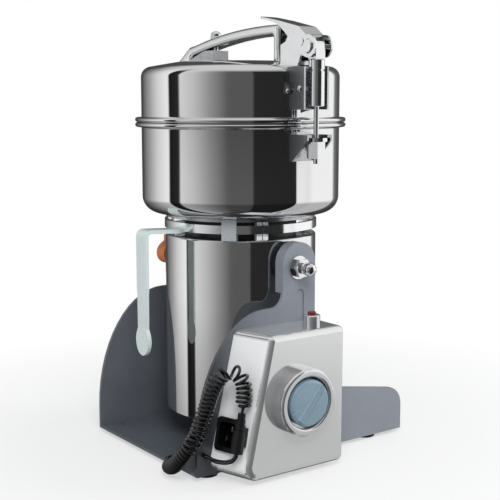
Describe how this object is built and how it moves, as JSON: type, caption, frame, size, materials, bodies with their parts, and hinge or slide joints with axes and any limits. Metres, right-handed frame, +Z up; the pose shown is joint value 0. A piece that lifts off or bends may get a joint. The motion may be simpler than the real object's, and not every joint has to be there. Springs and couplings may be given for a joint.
{
  "type": "electric spice grinder",
  "caption": "Upright spice grinder with a steel bowl on a motor that swings in a U-shaped cradle, a latched lid, a timer box and a curly cord.",
  "frame": {"origin": "on the table under the middle of the grinder's outer box, cord left out", "axes": "+Z up; -Y is the front with the control box; the bowl tips towards +X; the tilt handle is on the -X side"},
  "size_m": [0.3216, 0.3315, 0.4936],
  "materials": {
    "cradle_paint": "satin dark grey paint",
    "tail_paint": "satin grey paint",
    "far_paint": "satin grey paint",
    "black_rubber": "matt",
    "zinc": "bright zinc plated",
    "bronze": "sintered bronze",
    "box_silver": "silver paint, softly glossy",
    "bezel_silver": "silver plated plastic",
    "knob_blue": "translucent grey blue",
    "black_plastic": "fine matt",
    "grey_plastic": "matt",
    "red_plastic": "gloss",
    "blade_brass": "nickel plated",
    "black_cord": "soft sheen",
    "mirror_steel": "polished stainless steel",
    "bright_steel": "polished steel",
    "sheet_steel": "plain sheet steel",
    "dark_casting": "dark satin",
    "iron_core": "varnished laminations",
    "copper": "turned copper",
    "carbon": "matt",
    "fan_black": "matt",
    "blade_steel": "ground stainless steel",
    "gasket_white": "silicone",
    "mint_handle": "pale mint coating",
    "orange_lever": "orange"
  },
  "bodies": {
    "base": {"cradle_floor": "cradle_paint", "front_side_plate": "tail_paint", "back_side_plate": "far_paint", "rubber_feet": "black_rubber", "foot_bolts": "zinc", "swing_bushes": "bronze", "control_box": "box_silver", "box_screws": "zinc", "timer_bezel": "bezel_silver", "timer_mechanism": "grey_plastic", "reset_collar": "bezel_silver", "reset_breaker": "black_plastic", "mains_inlet": "black_plastic", "inlet_blades": "blade_brass", "cord_boot": "black_rubber", "link_lead": "black_cord", "curly_cord": "black_cord", "motor_lead": "black_cord"},
    "timer": {"timer_knob": "knob_blue", "timer_shaft": "zinc"},
    "reset": {"reset_button": "red_plastic"},
    "swing": {"motor_housing": "mirror_steel", "bottom_cover": "grey_plastic", "neck_casting": "dark_casting", "neck_band": "bright_steel", "band_clamp": "bright_steel", "joining_lugs": "sheet_steel", "bowl_disc": "sheet_steel", "bowl": "mirror_steel", "latch_catch": "bright_steel", "hinge_post": "bright_steel", "hinge_pin": "zinc", "stator": "iron_core", "shaft_bearings": "zinc", "brush_holders": "carbon", "swing_pins": "zinc", "swing_nut": "zinc", "swing_cap": "bright_steel", "tilt_handle": "mint_handle", "cord_gland": "black_rubber"},
    "rotor": {"motor_shaft": "zinc", "rotor_core": "iron_core", "commutator": "copper", "cooling_fan": "fan_black", "blade_hub": "zinc", "lower_blade": "blade_steel", "upper_blade": "blade_steel", "blade_nut": "zinc"},
    "lid": {"lid_shell": "mirror_steel", "lid_gasket": "gasket_white", "lid_handle": "bright_steel", "handle_block": "sheet_steel", "handle_cap_nut": "bright_steel", "latch_bracket": "bright_steel", "latch_guide": "sheet_steel"},
    "lever": {"latch_lever": "bright_steel"},
    "link": {"latch_barrel": "bright_steel"},
    "nut": {"latch_nut": "bright_steel"},
    "clamp": {"clamp_nut": "zinc", "clamp_lever": "orange_lever"}
  },
  "joints": [
    {"name": "timer_turn", "type": "hinge", "parent": "base", "child": "timer", "pos_m": [-0.0481, -0.1455, 0.0854], "axis": [0, 1, 0], "range_deg": [0, 300]},
    {"name": "reset_press", "type": "slide", "parent": "base", "child": "reset", "axis": [0, 0, -1], "range_m": [0, 0.003], "stiffness_N_per_m": 400, "springref_m": -0.004},
    {"name": "bowl_swing", "type": "hinge", "parent": "base", "child": "swing", "pos_m": [-0.0127, 0.0125, 0.219], "axis": [0, 1, 0], "range_deg": [0, 100], "deforming": ["motor_lead"]},
    {"name": "rotor_spin", "type": "hinge", "parent": "swing", "child": "rotor", "pos_m": [-0.0127, 0.0125, 0.2], "axis": [0, 0, 1], "continuous": true},
    {"name": "lid_open", "type": "hinge", "parent": "swing", "child": "lid", "pos_m": [-0.0127, 0.1465, 0.43], "axis": [-1, 0, 0], "range_deg": [0, 100]},
    {"name": "latch_open", "type": "hinge", "parent": "lid", "child": "lever", "pos_m": [-0.0127, -0.1135, 0.463], "axis": [1, 0, 0], "range_deg": [0, 60]},
    {"name": "link_hang", "type": "hinge", "parent": "lever", "child": "link", "pos_m": [-0.0127, -0.1259, 0.458], "axis": [1, 0, 0], "range_deg": [-84, 0]},
    {"name": "nut_turn", "type": "hinge", "parent": "link", "child": "nut", "pos_m": [-0.0127, -0.1259, 0.351], "axis": [0, 0, 1], "range_deg": [0, 90]},
    {"name": "clamp_turn", "type": "hinge", "parent": "swing", "child": "clamp", "pos_m": [-0.0127, 0.1515, 0.219], "axis": [0, 1, 0], "range_deg": [-90, 90]}
  ],
  "couplings": [
    {"joint": "link_hang", "follows": "latch_open", "ratio": -1.4}
  ]
}
